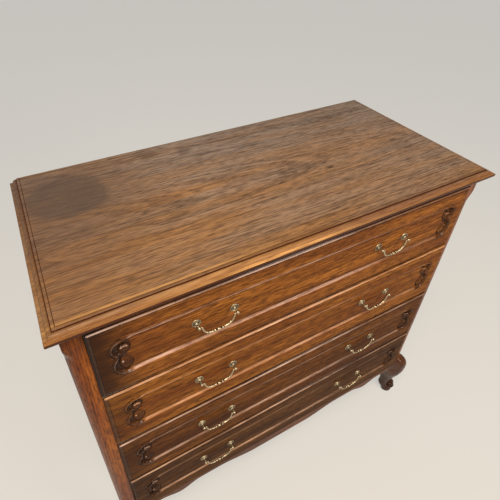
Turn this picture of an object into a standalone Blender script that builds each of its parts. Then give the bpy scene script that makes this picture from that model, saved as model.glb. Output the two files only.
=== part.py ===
"""Oak chest of four long drawers on carved front legs.

Metres, +Z up. X runs along the chest and -Y is its front. The origin is on the floor,
under the middle of the chest.
"""
import math

import bmesh
import bpy

for item in list(bpy.data.objects):
    bpy.data.objects.remove(item, do_unlink=True)

# Overall sizes
top_width = 1.040
top_depth = 0.485
total_height = 0.990
top_thickness = 0.022
side_overhang = 0.018
front_overhang = 0.023
back_overhang = 0.003

# Gap between neighbours, and how far a cutter runs past a face
joint_gap = 0.0003
cut_overrun = 0.002

# Moulded edge of the top: a quirk, an ovolo, a ledge and an upright edge
quirk_inset = 0.0150
quirk_depth = 0.0015
ledge_width = 0.0065
ledge_drop = 0.0090
edge_drop = 0.0142
under_inset = 0.0055
ovolo_steps = 4

# Posts, and the rounded chamfer on the outer corner of the front ones
post_width = 0.045
rear_post_depth = 0.040
rear_foot_width = 0.032
rear_foot_depth = 0.030
eased_edge = 0.0015
chamfer_width = 0.015
chamfer_crown = 0.0015
chamfer_start = 0.039
chamfer_stop_length = 0.038
chamfer_steps = 4

# Front leg, carved from the foot of the post. Angles run round the leg from its diagonal
leg_height = 0.248
knee_angles = (78, 39, 0, -39, -78)
ankle_angles = (44, 22, 0, -22, -44)
base_angle = 66
back_corner_angles = ((-88, -106, -128), (-154, 180, 154), (128, 106, 88))
# Each row: height as a share of the leg's; centre, reach, cross reach and base as shares
# of the post's width; and how far the back of the section is still the square post
leg_section_shares = (
    (0.000, 0.355, 0.400, 0.340, 0.755, 0.00),
    (0.016, 0.366, 0.460, 0.380, 0.755, 0.00),
    (0.065, 0.378, 0.510, 0.420, 0.755, 0.00),
    (0.137, 0.366, 0.530, 0.440, 0.755, 0.00),
    (0.210, 0.366, 0.530, 0.440, 0.755, 0.00),
    (0.258, 0.300, 0.490, 0.420, 0.755, 0.00),
    (0.298, 0.256, 0.467, 0.400, 0.755, 0.00),
    (0.339, 0.256, 0.467, 0.400, 0.755, 0.00),
    (0.375, 0.333, 0.544, 0.433, 0.755, 0.00),
    (0.431, 0.422, 0.622, 0.489, 0.755, 0.05),
    (0.504, 0.467, 0.689, 0.511, 0.755, 0.25),
    (0.577, 0.500, 0.750, 0.511, 0.755, 0.65),
    (0.637, 0.620, 0.650, 0.500, 0.755, 1.00),
    (0.694, 0.720, 0.570, 0.490, 0.755, 1.00),
    (0.750, 0.770, 0.520, 0.480, 0.755, 1.00),
    (0.815, 0.700, 0.490, 0.460, 0.755, 1.00),
    (0.887, 0.530, 0.390, 0.430, 0.710, 1.00),
    (0.948, 0.390, 0.280, 0.400, 0.600, 1.00),
)

# Side panels, tongued into the posts, and the back panel in its rebates
panel_thickness = 0.020
panel_rise = 0.160
panel_arch = 0.012
tongue_thickness = 0.008
tongue_length = 0.008
tongue_play = 0.001
back_thickness = 0.010
back_rebate = 0.010

# Kickers under the top, which keep the first drawer level as it opens
kicker_ledge = 0.016

# Apron, sawn to a cusped edge. Each row, from the middle to the post: the place as a
# share of the half length, and the share of the drop that hangs there
apron_thickness = 0.022
apron_rise = 0.158
apron_top = 0.200
apron_drop = 0.020
apron_edge_shares = (
    (0.000, 1.00),
    (0.200, 1.00),
    (0.480, 0.00),
    (0.620, 0.00),
    (0.748, 0.90),
    (0.875, 0.05),
    (1.000, 0.15),
)
edge_steps = 5

# Drawer fronts: a lip over the frame, a block inside it and a sunk field
drawer_count = 4
first_drop = 0.0335
face_gap = 0.003
lip_overlap = 0.0085
side_lip_overlap = 0.009
lip_thickness = 0.010
lip_edge = 0.0025
thumb_width = 0.009
thumb_quirk = 0.0008
thumb_steps = 3
block_thickness = 0.014
field_height = 0.096
field_depth = 0.003
field_cove = 0.0075
# Depth and inset of the field's cove, as shares of its full depth and width
cove_shares = ((0.0, 0.0), (0.45, 0.12), (0.85, 0.50), (1.0, 1.0))
# The two scrolls at each end of the field, from the face's end and middle
upper_scroll_inset = 0.0626
upper_scroll_rise = 0.020
upper_scroll_width = 0.0287
upper_scroll_angles = (90, 108, 128, 150, 172, 196, 220)
lower_scroll_inset = 0.0546
lower_scroll_drop = 0.0235
lower_scroll_width = 0.022
lower_scroll_angles = (134, 158, 182, 206, 228, 250, 270)

# Drawer boxes
box_side_play = 0.0015
box_top_play = 0.004
box_back_room = 0.029
side_board = 0.012
back_board = 0.010
back_board_drop = 0.010
bottom_board = 0.006
bottom_rise = 0.008
groove_depth = 0.005

# Handles: turned posts with a round plate, a ball head and a nut, and swan-neck bails
handle_spread = 0.2295
handle_centres = 0.082
handle_drop = 0.087
post_radius = 0.0020
shank_play = 0.0003
post_sides = 10
plate_radius = 0.010
plate_thickness = 0.003
# The plate's turned face from rim to neck: shares of its radius and thickness
plate_shares = ((1.00, 0.30), (0.80, 0.62), (0.62, 0.42), (0.44, 1.00))
post_reach = 0.011
ball_radius = 0.0040
ball_steps = 5
nut_radius = 0.0042
nut_height = 0.0025
thread_end = 0.0015
pin_radius = 0.0011
pin_hole_radius = 0.0015
pin_length = 0.0030
bail_sides = 6
bail_drop = 0.0250
bail_foot = 0.0250
arm_radius = 0.0015
bar_radius = 0.0022
bar_end_radius = 0.0016
bar_swell_share = 0.6
collar_radius = 0.0030
collar_width = 0.0016
collar_place = 0.0062
knop_radius = 0.0033
# The knop from its end to its middle: shares of its radius along and across the bar
knop_shares = ((0.90, 0.50), (0.50, 0.87))
# The swan neck from pin to bar: shares of the way in and of the way down
neck_shares = ((0.00, 0.00), (0.10, 0.12), (0.22, 0.36), (0.40, 0.60), (0.68, 0.84), (1.00, 1.00))

# Levels and planes worked out from the sizes above
side_plane = top_width / 2 - side_overhang
opening_half = side_plane - post_width
post_top = total_height - top_thickness - joint_gap
rail_height = 2 * lip_overlap + face_gap
first_opening_top = total_height - first_drop - lip_overlap
drawer_pitch = (first_opening_top + rail_height - apron_top) / drawer_count
opening_height = drawer_pitch - rail_height
face_half = opening_half + side_lip_overlap
box_height = opening_height - box_top_play
box_half = opening_half - box_side_play
box_depth = top_depth - front_overhang - back_overhang - back_thickness - box_back_room

# Finishes: colour as sRGB hex, roughness, metallic
smooth_angle = 40
finishes = {
    "oak": ("7A4A28", 0.42, 0.0),
    "inside_oak": ("A98258", 0.65, 0.0),
    "brass": ("A68A5B", 0.35, 1.0),
}


def linear(channel):
    """One sRGB channel from 0 to 1 as linear light."""
    if channel <= 0.04045:
        return channel / 12.92
    return ((channel + 0.055) / 1.055) ** 2.4


def finish_material(name, finish):
    """A material of its own for one piece."""
    colour, roughness, metallic = finishes[finish]
    channels = [linear(int(colour[i:i + 2], 16) / 255) for i in (0, 2, 4)]
    material = bpy.data.materials.new(name)
    material.use_nodes = True
    shader = material.node_tree.nodes["Principled BSDF"]
    shader.inputs["Base Color"].default_value = (*channels, 1.0)
    shader.inputs["Roughness"].default_value = roughness
    shader.inputs["Metallic"].default_value = metallic
    return material


def place(name, shape, finish, parent=None, location=(0, 0, 0)):
    """Turns a bmesh into a named object with its faces pointing out."""
    bmesh.ops.recalc_face_normals(shape, faces=shape.faces)
    mesh = bpy.data.meshes.new(name)
    shape.to_mesh(mesh)
    shape.free()
    mesh.materials.append(finish_material(name, finish))
    item = bpy.data.objects.new(name, mesh)
    item.parent = parent
    item.location = location
    bpy.context.scene.collection.objects.link(item)
    return item


def shade_round(item):
    """Smooth shading, with sharp edges where the surface turns."""
    item.data.shade_smooth()
    item.data.set_sharp_from_angle(angle=math.radians(smooth_angle))


def empty(name, location):
    """An empty that carries a moving body."""
    item = bpy.data.objects.new(name, None)
    item.location = location
    bpy.context.scene.collection.objects.link(item)
    return item


def add_loft(shape, rings):
    """Adds a skin through rings of equally many points, capped at both ends."""
    loops = [[shape.verts.new(point) for point in ring] for ring in rings]
    count = len(loops[0])
    for lower, upper in zip(loops, loops[1:]):
        for i in range(count):
            j = (i + 1) % count
            shape.faces.new((lower[i], lower[j], upper[j], upper[i]))
    shape.faces.new(loops[0])
    shape.faces.new(loops[-1])


def add_block(shape, low, high):
    """Adds a rectangular block."""
    corners = ((low[0], low[1]), (high[0], low[1]), (high[0], high[1]), (low[0], high[1]))
    add_loft(shape, [[(x, y, z) for x, y in corners] for z in (low[2], high[2])])


def block(name, low, high, finish, parent=None):
    """A board with square edges."""
    shape = bmesh.new()
    add_block(shape, low, high)
    return place(name, shape, finish, parent)


def loft(name, rings, finish, parent=None, location=(0, 0, 0)):
    """A piece skinned through rings."""
    shape = bmesh.new()
    add_loft(shape, rings)
    return place(name, shape, finish, parent, location)


def extruded(name, outline, axis, start, end, finish, parent=None):
    """A board sawn to an outline and extruded along X, Y or Z."""
    at = "XYZ".index(axis)
    rings = [[(*point[:at], along, *point[at:]) for point in outline] for along in (start, end)]
    return loft(name, rings, finish, parent)


def cut(piece, cutter):
    """Cuts one object from another and keeps the cutter out of the model."""
    cutter.hide_render = True
    cutter.display_type = "WIRE"
    modifier = piece.modifiers.new("cut", "BOOLEAN")
    modifier.operation = "DIFFERENCE"
    modifier.solver = "EXACT"
    modifier.object = cutter


def turned_rings(profile, sides, centre, axis):
    """Rings of a turned shape: profile points are (radius, place along the axis)."""
    at = "XYZ".index(axis)
    rings = []
    for radius, along in profile:
        ring = []
        for i in range(sides):
            angle = 2 * math.pi * i / sides
            flat = (radius * math.cos(angle), radius * math.sin(angle))
            offset = (*flat[:at], along, *flat[at:])
            ring.append(tuple(c + o for c, o in zip(centre, offset)))
        rings.append(ring)
    return rings


def mix(first, second, share):
    """A value part of the way from the first to the second."""
    return first + (second - first) * share


def smooth(share):
    """Eases a share from 0 to 1."""
    return share * share * (3 - 2 * share)


def span(side, first, second):
    """Two distances from the middle as low and high X on one side (-1 or 1)."""
    return sorted((side * first, side * second))


# Front posts. Sections are drawn round the outer front corner of the right post: u runs
# outwards along X and v forwards along -Y
def diagonal_point(centre, reach, cross, angle):
    """A point on an ellipse whose long axis lies on the post's diagonal."""
    along = centre + reach * math.cos(math.radians(angle))
    across = cross * math.sin(math.radians(angle))
    half = post_width / 2
    return ((along - across) / math.sqrt(2) - half, (along + across) / math.sqrt(2) - half)


def eased_corner(u, v, before, after):
    """Three points that ease a square corner; before and after point along its edges."""
    inwards = eased_edge * (1 - 1 / math.sqrt(2))
    return [
        (u + before[0] * eased_edge, v + before[1] * eased_edge),
        (u + (before[0] + after[0]) * inwards, v + (before[1] + after[1]) * inwards),
        (u + after[0] * eased_edge, v + after[1] * eased_edge),
    ]


def square_corners():
    """The post's three plain corners: outer back, inner back and inner front."""
    w = post_width
    outer_back = eased_corner(0, -w, (0, 1), (-1, 0))
    inner_back = eased_corner(-w, -w, (1, 0), (0, 1))
    inner_front = eased_corner(-w, 0, (0, -1), (1, 0))
    return outer_back + inner_back + inner_front


def post_section(chamfer):
    """The post's outline, with its outer front corner cut back and slightly crowned."""
    crown = chamfer_crown * chamfer / chamfer_width
    count = len(knee_angles) + 1
    points = [(-chamfer, 0)]
    for i in range(1, count):
        share = i / count
        lift = crown * math.sin(math.pi * share)
        points.append((-chamfer * (1 - share) + lift, -chamfer * share + lift))
    return points + [(0, -chamfer)] + square_corners()


def leg_section(centre_share, reach_share, cross_share, base_share, square_share):
    """The leg's outline: the knee's arc in front, and behind it the post or a round."""
    centre, reach, cross = (s * post_width for s in (centre_share, reach_share, cross_share))
    base = base_share * post_width
    arc = [
        diagonal_point(centre, reach, cross, mix(low, high, square_share))
        for low, high in zip(ankle_angles, knee_angles)
    ]
    square_points = [(-base, 0), (0, -base)] + square_corners()
    angles = [base_angle, -base_angle] + [a for corner in back_corner_angles for a in corner]
    rest = []
    for point, angle in zip(square_points, angles):
        rounded = diagonal_point(centre, reach, cross, angle)
        rest.append(tuple(mix(r, p, square_share) for r, p in zip(rounded, point)))
    return rest[:1] + arc + rest[1:]


def front_post_sections():
    """Heights and outlines of the whole post, from the floor up."""
    sections = [(row[0] * leg_height, leg_section(*row[1:])) for row in leg_section_shares]
    sections.append((leg_height, post_section(chamfer_width)))
    stop_low = post_top - chamfer_start - chamfer_stop_length
    for i in range(chamfer_steps + 1):
        share = i / chamfer_steps
        chamfer = mix(chamfer_width, eased_edge, smooth(share))
        sections.append((stop_low + chamfer_stop_length * share, post_section(chamfer)))
    sections.append((post_top, post_section(eased_edge)))
    return sections


post_sections = front_post_sections()
knee_reach = max(v for height, section in post_sections for u, v in section)

# Drawer planes, measured from the front of the frame and the floor of an opening
lip_back = -joint_gap
face_y = lip_back - lip_thickness
field_y = face_y + field_depth
plate_back = field_y - joint_gap
pivot_y = plate_back - plate_thickness - post_reach
pivot_z = opening_height + lip_overlap - handle_drop
face_middle = opening_height / 2
box_floor = joint_gap
box_top = box_floor + box_height
block_half = box_half - side_board - joint_gap
groove_low = box_floor + bottom_rise
groove_high = groove_low + bottom_board + 2 * joint_gap

# Frame planes from front to back, with the whole chest centred on the origin
front_reach = max(front_overhang, knee_reach, ball_radius - pivot_y)
frame_y = (front_reach + front_overhang - top_depth) / 2
top_front = frame_y - front_overhang
top_back = top_front + top_depth
back_y = top_back - back_overhang
post_back = frame_y + post_width
rear_post_front = back_y - rear_post_depth
panel_front = post_back + joint_gap
panel_back = rear_post_front - joint_gap
panel_inner = side_plane - panel_thickness
tongue_outer = side_plane - (panel_thickness - tongue_thickness) / 2
tongue_inner = tongue_outer - tongue_thickness
board_back = back_y - back_thickness - joint_gap


def opening_bottom(number):
    """Height of the floor of one drawer's opening."""
    return first_opening_top - opening_height - (number - 1) * drawer_pitch


def mirrored(points, side):
    """Points for the right side (1), or mirrored to the left (-1)."""
    return [(side * x, y, z) for x, y, z in points]


def make_top():
    """The top, moulded along its front and both ends."""
    profile = [(under_inset, top_thickness), (0, edge_drop), (0, ledge_drop)]
    for i in range(ovolo_steps + 1):
        angle = math.pi / 2 * i / ovolo_steps
        inset = quirk_inset - (quirk_inset - ledge_width) * math.cos(angle)
        drop = ledge_drop - (ledge_drop - quirk_depth) * math.sin(angle)
        profile.append((inset, drop))
    profile.append((quirk_inset, 0))
    rings = []
    for inset, drop in profile:
        end, front, z = top_width / 2 - inset, top_front + inset, total_height - drop
        rings.append([(-end, front, z), (end, front, z), (end, top_back, z), (-end, top_back, z)])
    loft("top_panel", rings, "oak")


def make_tongue_groove(name, side, face, inwards):
    """Cutter for the groove that takes a side panel's tongue."""
    low_x, high_x = span(side, tongue_inner - tongue_play / 2, tongue_outer + tongue_play / 2)
    outside = face - inwards * cut_overrun
    floor = face + inwards * (joint_gap + tongue_length + tongue_play)
    low = (low_x, min(outside, floor), panel_rise - joint_gap)
    high = (high_x, max(outside, floor), post_top + cut_overrun)
    return block(name, low, high, "oak")


def make_front_post(side, word):
    """Front post with its chamfered corner, knee and scroll foot."""
    rings = [
        mirrored([(side_plane + u, frame_y - v, height) for u, v in section], side)
        for height, section in post_sections
    ]
    post = loft(f"front_post_{word}", rings, "oak")
    shade_round(post)
    cut(post, make_tongue_groove(f"cut_front_groove_{word}", side, post_back, -1))


def make_rear_post(side, word):
    """Rear post, tapered below the side panel and rebated for the back panel."""
    levels = (
        (0, rear_foot_width, rear_foot_depth),
        (panel_rise, post_width, rear_post_depth),
        (post_top, post_width, rear_post_depth),
    )
    rings = []
    for height, width, depth in levels:
        inner, front = side_plane - width, back_y - depth
        ring = [(inner, front), (side_plane, front), (side_plane, back_y), (inner, back_y)]
        rings.append(mirrored([(x, y, height) for x, y in ring], side))
    post = loft(f"rear_post_{word}", rings, "oak")
    cut(post, make_tongue_groove(f"cut_rear_groove_{word}", side, rear_post_front, 1))
    low_x, high_x = span(side, opening_half - cut_overrun, opening_half + back_rebate + joint_gap)
    low = (low_x, board_back, panel_rise - joint_gap)
    high = (high_x, back_y + cut_overrun, post_top + cut_overrun)
    cut(post, block(f"cut_rebate_{word}", low, high, "oak"))


def make_side_panel(side, word):
    """Side panel with an arched lower edge and a tongue along each upright edge."""
    front, back = panel_front - tongue_length, panel_back + tongue_length
    lower_edge = [(front, panel_rise)]
    count = 2 * edge_steps
    for i in range(count + 1):
        share = i / count
        arch = panel_arch * smooth(math.sin(math.pi * share))
        lower_edge.append((mix(panel_front, panel_back, share), panel_rise + arch))
    outline = lower_edge + [(back, panel_rise), (back, post_top), (front, post_top)]
    panel = extruded(f"side_panel_{word}", outline, "X", *span(side, panel_inner, side_plane), "oak")
    shape = bmesh.new()
    low_z, high_z = panel_rise - cut_overrun, post_top + cut_overrun
    for low_y, high_y in ((front - cut_overrun, panel_front), (panel_back, back + cut_overrun)):
        for inner, outer in (
            (panel_inner - cut_overrun, tongue_inner),
            (tongue_outer, side_plane + cut_overrun),
        ):
            low_x, high_x = span(side, inner, outer)
            add_block(shape, (low_x, low_y, low_z), (high_x, high_y, high_z))
    cut(panel, place(f"cut_tongues_{word}", shape, "oak"))


def make_back_and_rails():
    """Back panel, front top rail and the two kickers."""
    half = opening_half + back_rebate
    low = (-half, back_y - back_thickness, panel_rise)
    block("back_panel", low, (half, back_y, post_top), "inside_oak")
    half = opening_half - joint_gap
    low = (-half, frame_y, first_opening_top)
    block("front_top_rail", low, (half, post_back, post_top), "oak")
    for side, word in ((-1, "left"), (1, "right")):
        low_x, high_x = span(side, opening_half - kicker_ledge, panel_inner - joint_gap)
        low = (low_x, panel_front, first_opening_top)
        block(f"kicker_{word}", low, (high_x, panel_back, post_top), "inside_oak")


def make_dust_board(name, floor, front, finish):
    """Board under a drawer, cut round the four posts."""
    half, wide = opening_half - joint_gap, panel_inner - joint_gap
    right = [(half, front), (half, panel_front), (wide, panel_front), (wide, panel_back),
             (half, panel_back), (half, board_back)]
    outline = right + [(-x, y) for x, y in reversed(right)]
    extruded(name, outline, "Z", floor - rail_height, floor, finish)


def make_apron():
    """The apron under the lowest drawer."""
    half = opening_half - joint_gap
    right = []
    for (place_share, drop_share), (next_place, next_drop) in zip(apron_edge_shares, apron_edge_shares[1:]):
        for i in range(edge_steps):
            share = i / edge_steps
            drop = apron_drop * mix(drop_share, next_drop, smooth(share))
            right.append((half * mix(place_share, next_place, share), apron_rise - drop))
    right.append((half, apron_rise - apron_drop * apron_edge_shares[-1][1]))
    left = [(-x, z) for x, z in reversed(right[1:])]
    top = opening_bottom(drawer_count)
    outline = left + right + [(half, top), (-half, top)]
    extruded("apron", outline, "Y", frame_y, frame_y + apron_thickness, "oak")


def field_outline(inset):
    """The sunk field's outline: straight above and below, two scrolls at each end."""
    scrolls = (
        (upper_scroll_inset, upper_scroll_rise, upper_scroll_width, upper_scroll_angles),
        (lower_scroll_inset, -lower_scroll_drop, lower_scroll_width, lower_scroll_angles),
    )
    left = []
    for end_inset, rise, width, angles in scrolls:
        height = field_height / 2 - abs(rise)
        for angle in angles:
            turn = math.radians(angle)
            x = end_inset - face_half + (width - inset) * math.cos(turn)
            left.append((x, face_middle + rise + (height - inset) * math.sin(turn)))
    return left + [(-x, z) for x, z in reversed(left)]


def front_ring(half, low, high, y):
    """One rectangular ring of a drawer front."""
    return [(-half, y, low), (half, y, low), (half, y, high), (-half, y, high)]


def handle_post_places():
    """X of the four handle posts of a drawer, from the left."""
    return [side * handle_spread + end * handle_centres / 2 for side in (-1, 1) for end in (-1, 1)]


def make_drawer_front(number, slide):
    """The front: block, lip with a thumb moulding, sunk field and holes for the handles."""
    rise = lip_thickness - lip_edge - thumb_quirk
    profile = [(0, 0), (lip_edge, 0)]
    for i in range(1, thumb_steps + 1):
        angle = math.pi / 2 * i / thumb_steps
        profile.append((lip_edge + rise * math.sin(angle), thumb_width * (1 - math.cos(angle))))
    profile.append((lip_thickness, thumb_width))
    rings = [front_ring(block_half, box_floor, box_top, y) for y in (block_thickness, lip_back)]
    for forward, inset in profile:
        low, high = inset - lip_overlap, opening_height + lip_overlap - inset
        rings.append(front_ring(face_half - inset, low, high, lip_back - forward))
    front = loft(f"drawer_{number}_front", rings, "oak", slide)
    shade_round(front)

    rings = [[(x, face_y - cut_overrun, z) for x, z in field_outline(0)]]
    for depth_share, inset_share in cove_shares:
        y = face_y + field_depth * depth_share
        rings.append([(x, y, z) for x, z in field_outline(field_cove * inset_share)])
    cut(front, loft(f"cut_field_{number}", rings, "oak", slide))

    shape = bmesh.new()
    radius = post_radius + shank_play
    profile = [(radius, field_y - cut_overrun), (radius, block_thickness + cut_overrun)]
    for x in handle_post_places():
        add_loft(shape, turned_rings(profile, post_sides, (x, 0, pivot_z), "Y"))
    cut(front, place(f"cut_shanks_{number}", shape, "oak", slide))

    half = block_half + cut_overrun
    low = (-half, block_thickness - groove_depth, groove_low)
    high = (half, block_thickness + cut_overrun, groove_high)
    cut(front, block(f"cut_bottom_groove_{number}", low, high, "oak", slide))


def make_drawer_box(number, slide):
    """Sides grooved for the bottom, a back above it, and the bottom itself."""
    inner = box_half - side_board
    for side, word in ((-1, "left"), (1, "right")):
        profile = [
            (box_half, box_floor), (inner, box_floor), (inner, groove_low),
            (inner + groove_depth, groove_low), (inner + groove_depth, groove_high),
            (inner, groove_high), (inner, box_top), (box_half, box_top),
        ]
        outline = [(side * x, z) for x, z in profile]
        extruded(f"drawer_{number}_side_{word}", outline, "Y", 0, box_depth, "inside_oak", slide)
    half = inner - joint_gap
    low = (-half, box_depth - back_board, groove_high)
    high = (half, box_depth, box_top - back_board_drop)
    block(f"drawer_{number}_back", low, high, "inside_oak", slide)
    half = inner + groove_depth - joint_gap
    low = (-half, block_thickness - groove_depth + joint_gap, groove_low + joint_gap)
    high = (half, box_depth, groove_high - joint_gap)
    block(f"drawer_{number}_bottom", low, high, "inside_oak", slide)


def make_handle_posts(number, slide):
    """Turned posts: nut and shank behind, plate and ball head in front, bored for the bail."""
    nut_front = block_thickness + joint_gap
    nut_back = nut_front + nut_height
    profile = [
        (post_radius, nut_back + thread_end), (post_radius, nut_back), (nut_radius, nut_back),
        (nut_radius, nut_front), (post_radius, nut_front), (post_radius, plate_back),
        (plate_radius, plate_back),
    ]
    for radius_share, height_share in plate_shares:
        profile.append((plate_radius * radius_share, plate_back - plate_thickness * height_share))
    profile.append((post_radius, plate_back - plate_thickness))
    neck = math.asin(post_radius / ball_radius)
    for i in range(ball_steps + 1):
        angle = mix(neck, math.pi - neck / 2, i / ball_steps)
        profile.append((ball_radius * math.sin(angle), pivot_y + ball_radius * math.cos(angle)))
    for i, x in enumerate(handle_post_places()):
        name = f"drawer_{number}_handle_post_{i + 1}"
        post = loft(name, turned_rings(profile, post_sides, (x, 0, pivot_z), "Y"), "brass", slide)
        shade_round(post)
        inwards = 1 if i % 2 == 0 else -1
        ends = (ball_radius + cut_overrun, ball_radius - pin_length - joint_gap)
        hole = [(pin_hole_radius, inwards * end) for end in ends]
        rings = turned_rings(hole, bail_sides, (x, pivot_y, pivot_z), "X")
        cut(post, loft(f"cut_pin_hole_{number}_{i + 1}", rings, "brass", slide))


def bail_path():
    """Half of a bail, from its pin to beside its middle: points (x, z) and radii."""
    half = handle_centres / 2
    arm = half - ball_radius - arm_radius - shank_play
    outer, inner = collar_place + collar_width / 2, collar_place - collar_width / 2
    path = [(half - ball_radius + pin_length, 0, pin_radius), (arm + arm_radius, 0, pin_radius)]
    for in_share, down_share in neck_shares:
        radius = mix(arm_radius, bar_end_radius, down_share)
        path.append((mix(arm, bail_foot, in_share), -bail_drop * down_share, radius))
    swell_radius = mix(bar_end_radius, bar_radius, bar_swell_share)
    path.append((mix(bail_foot, outer, bar_swell_share), -bail_drop, swell_radius))
    for x, radius in (
        (outer, bar_radius), (outer, collar_radius), (inner, collar_radius), (inner, bar_end_radius),
    ):
        path.append((x, -bail_drop, radius))
    for along_share, radius_share in knop_shares:
        path.append((knop_radius * along_share, -bail_drop, knop_radius * radius_share))
    return path


def make_bail(number, side, word, slide):
    """A swan-neck bail with a knop between two collars, its origin on its hinge axis."""
    half_path = bail_path()
    left = [(-x, z, radius) for x, z, radius in half_path]
    path = left + [(0, -bail_drop, knop_radius)] + half_path[::-1]
    rings = []
    for i, (x, z, radius) in enumerate(path):
        before, after = path[max(i - 1, 0)], path[min(i + 1, len(path) - 1)]
        turn = math.atan2(after[1] - before[1], after[0] - before[0])
        ring = []
        for k in range(bail_sides):
            angle = 2 * math.pi * k / bail_sides
            across, forward = radius * math.cos(angle), radius * math.sin(angle)
            ring.append((x - across * math.sin(turn), forward, z + across * math.cos(turn)))
        rings.append(ring)
    hinge = (side * handle_spread, pivot_y, pivot_z)
    bail = loft(f"drawer_{number}_bail_{word}", rings, "brass", slide, hinge)
    shade_round(bail)


make_top()
make_back_and_rails()
make_apron()
for side, word in ((-1, "left"), (1, "right")):
    make_front_post(side, word)
    make_rear_post(side, word)
    make_side_panel(side, word)
for number in range(1, drawer_count):
    make_dust_board(f"dust_board_{number}", opening_bottom(number), frame_y, "oak")
bottom_front = frame_y + apron_thickness + joint_gap
make_dust_board("bottom_board", opening_bottom(drawer_count), bottom_front, "inside_oak")
for number in range(1, drawer_count + 1):
    slide = empty(f"drawer_{number}_slide", (0, frame_y, opening_bottom(number)))
    make_drawer_front(number, slide)
    make_drawer_box(number, slide)
    make_handle_posts(number, slide)
    for side, word in ((-1, "left"), (1, "right")):
        make_bail(number, side, word, slide)
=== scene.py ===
# %% [markdown]
# # An oak chest of four drawers
# This lesson dresses a chest of drawers that already exists as plain CAD solids. The plain
# boards keep their shape and only get a finish. The moulded top, the drawer fronts, the
# front legs, the apron and the handles are modelled again in more detail.

# %% Load the chest
import math

import bmesh
import bpy
import numpy as np
from mathutils import Matrix, Vector


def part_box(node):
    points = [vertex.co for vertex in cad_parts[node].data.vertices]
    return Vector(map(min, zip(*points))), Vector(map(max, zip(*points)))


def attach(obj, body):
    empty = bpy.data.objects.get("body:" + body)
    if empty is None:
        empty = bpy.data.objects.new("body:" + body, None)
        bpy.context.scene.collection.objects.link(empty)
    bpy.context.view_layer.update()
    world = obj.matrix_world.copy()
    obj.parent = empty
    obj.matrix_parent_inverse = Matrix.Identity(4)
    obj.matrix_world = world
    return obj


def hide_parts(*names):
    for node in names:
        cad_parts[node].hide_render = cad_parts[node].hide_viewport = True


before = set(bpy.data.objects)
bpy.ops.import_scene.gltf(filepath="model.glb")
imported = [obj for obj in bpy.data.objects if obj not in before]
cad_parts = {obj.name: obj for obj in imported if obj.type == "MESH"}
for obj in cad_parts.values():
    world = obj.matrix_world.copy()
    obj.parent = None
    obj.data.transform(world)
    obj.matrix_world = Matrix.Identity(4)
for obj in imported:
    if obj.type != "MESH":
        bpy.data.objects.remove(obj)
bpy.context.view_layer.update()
drawers, sides = (1, 2, 3, 4), ((-1, "left"), (1, "right"))

# %% [markdown]
# ## Camera
# The photograph looks down on the chest from the front left, a little above standing eye
# height. The place, the turn and the lens were worked out from the corners of the top and of
# the drawers. The picture had been cropped, so the lens centre isn't the middle of the image,
# and a small shift stands for that.

# %% Camera
camera_data = bpy.data.cameras.new("camera")
camera_data.sensor_width = 36.0
camera_data.lens = 30.20
camera_data.shift_x = 0.0440
camera_data.shift_y = -0.0906
camera = bpy.data.objects.new("camera", camera_data)
camera.location = (-0.4572, -0.6917, 1.5221)
camera.rotation_euler = (0.9282, -0.0101, -0.4877)
bpy.context.scene.collection.objects.link(camera)
bpy.context.scene.camera = camera
bpy.context.scene.view_settings.view_transform = "Standard"
print("camera", tuple(round(v, 3) for v in camera.location))

# %% [markdown]
# ## Node helpers
# Every material here is a small network of nodes. One function adds a node, sets it up and
# links it, which keeps each network readable as a list of steps. The part of it that fills the
# inputs is also used alone, for a shader that is already there. Colours are written as the hex
# values that a paint program shows, and turned into linear light for the renderer.


# %% Colour and node helpers
def linear(hex_colour):
    """An sRGB hex colour as linear red, green, blue and alpha."""
    channels = []
    for i in (0, 2, 4):
        c = int(hex_colour[i:i + 2], 16) / 255
        channels.append(c / 12.92 if c <= 0.04045 else ((c + 0.055) / 1.055) ** 2.4)
    return (*channels, 1.0)


def fill(node, inputs):
    """Fills a node's inputs, by name in a dict, or in the order that the editor shows them.

    An input is a plain value, an output of another node, or a node, whose first output is used.
    """
    if isinstance(inputs, dict):
        sockets, values = [node.inputs[name] for name in inputs], inputs.values()
    else:
        sockets, values = [socket for socket in node.inputs if socket.enabled], inputs
    for socket, value in zip(sockets, values):
        if isinstance(value, bpy.types.Node):
            value = next(output for output in value.outputs if output.enabled)
        if isinstance(value, bpy.types.NodeSocket):
            node.id_data.links.new(value, socket)
        else:
            socket.default_value = value


# Every mix here is one of colours, and every change of range is eased
usual_settings = {"Mix": {"data_type": "RGBA"}, "MapRange": {"interpolation_type": "SMOOTHSTEP"}}


def add(tree, kind, inputs=(), **settings):
    """Adds a node with its settings and fills its inputs."""
    node = tree.nodes.new("ShaderNode" + kind)
    for name, value in {**usual_settings.get(kind, {}), **settings}.items():
        setattr(node, name, value)
    fill(node, inputs)
    return node


def new_material(name):
    """An empty material with its shader."""
    material = bpy.data.materials.new(name)
    material.use_nodes = True
    return material, material.node_tree, material.node_tree.nodes["Principled BSDF"]


print("oak brown in linear light", [round(c, 3) for c in linear("7A4A28")])

# %% [markdown]
# ## Studio
# A plain pale floor, a large soft lamp above the front left, a window in front at the right,
# a weak lamp at the left and an even white surround. The window's place follows from the
# shine on the right knee and in the hollow edges, which mirror it in the photograph. The lamps
# are wide and far away, so shadows are soft and the colours come out about as they are
# written. What the camera and the brass see of the floor is lifted a little towards white, and
# it keeps the shadow of the chest.

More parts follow.
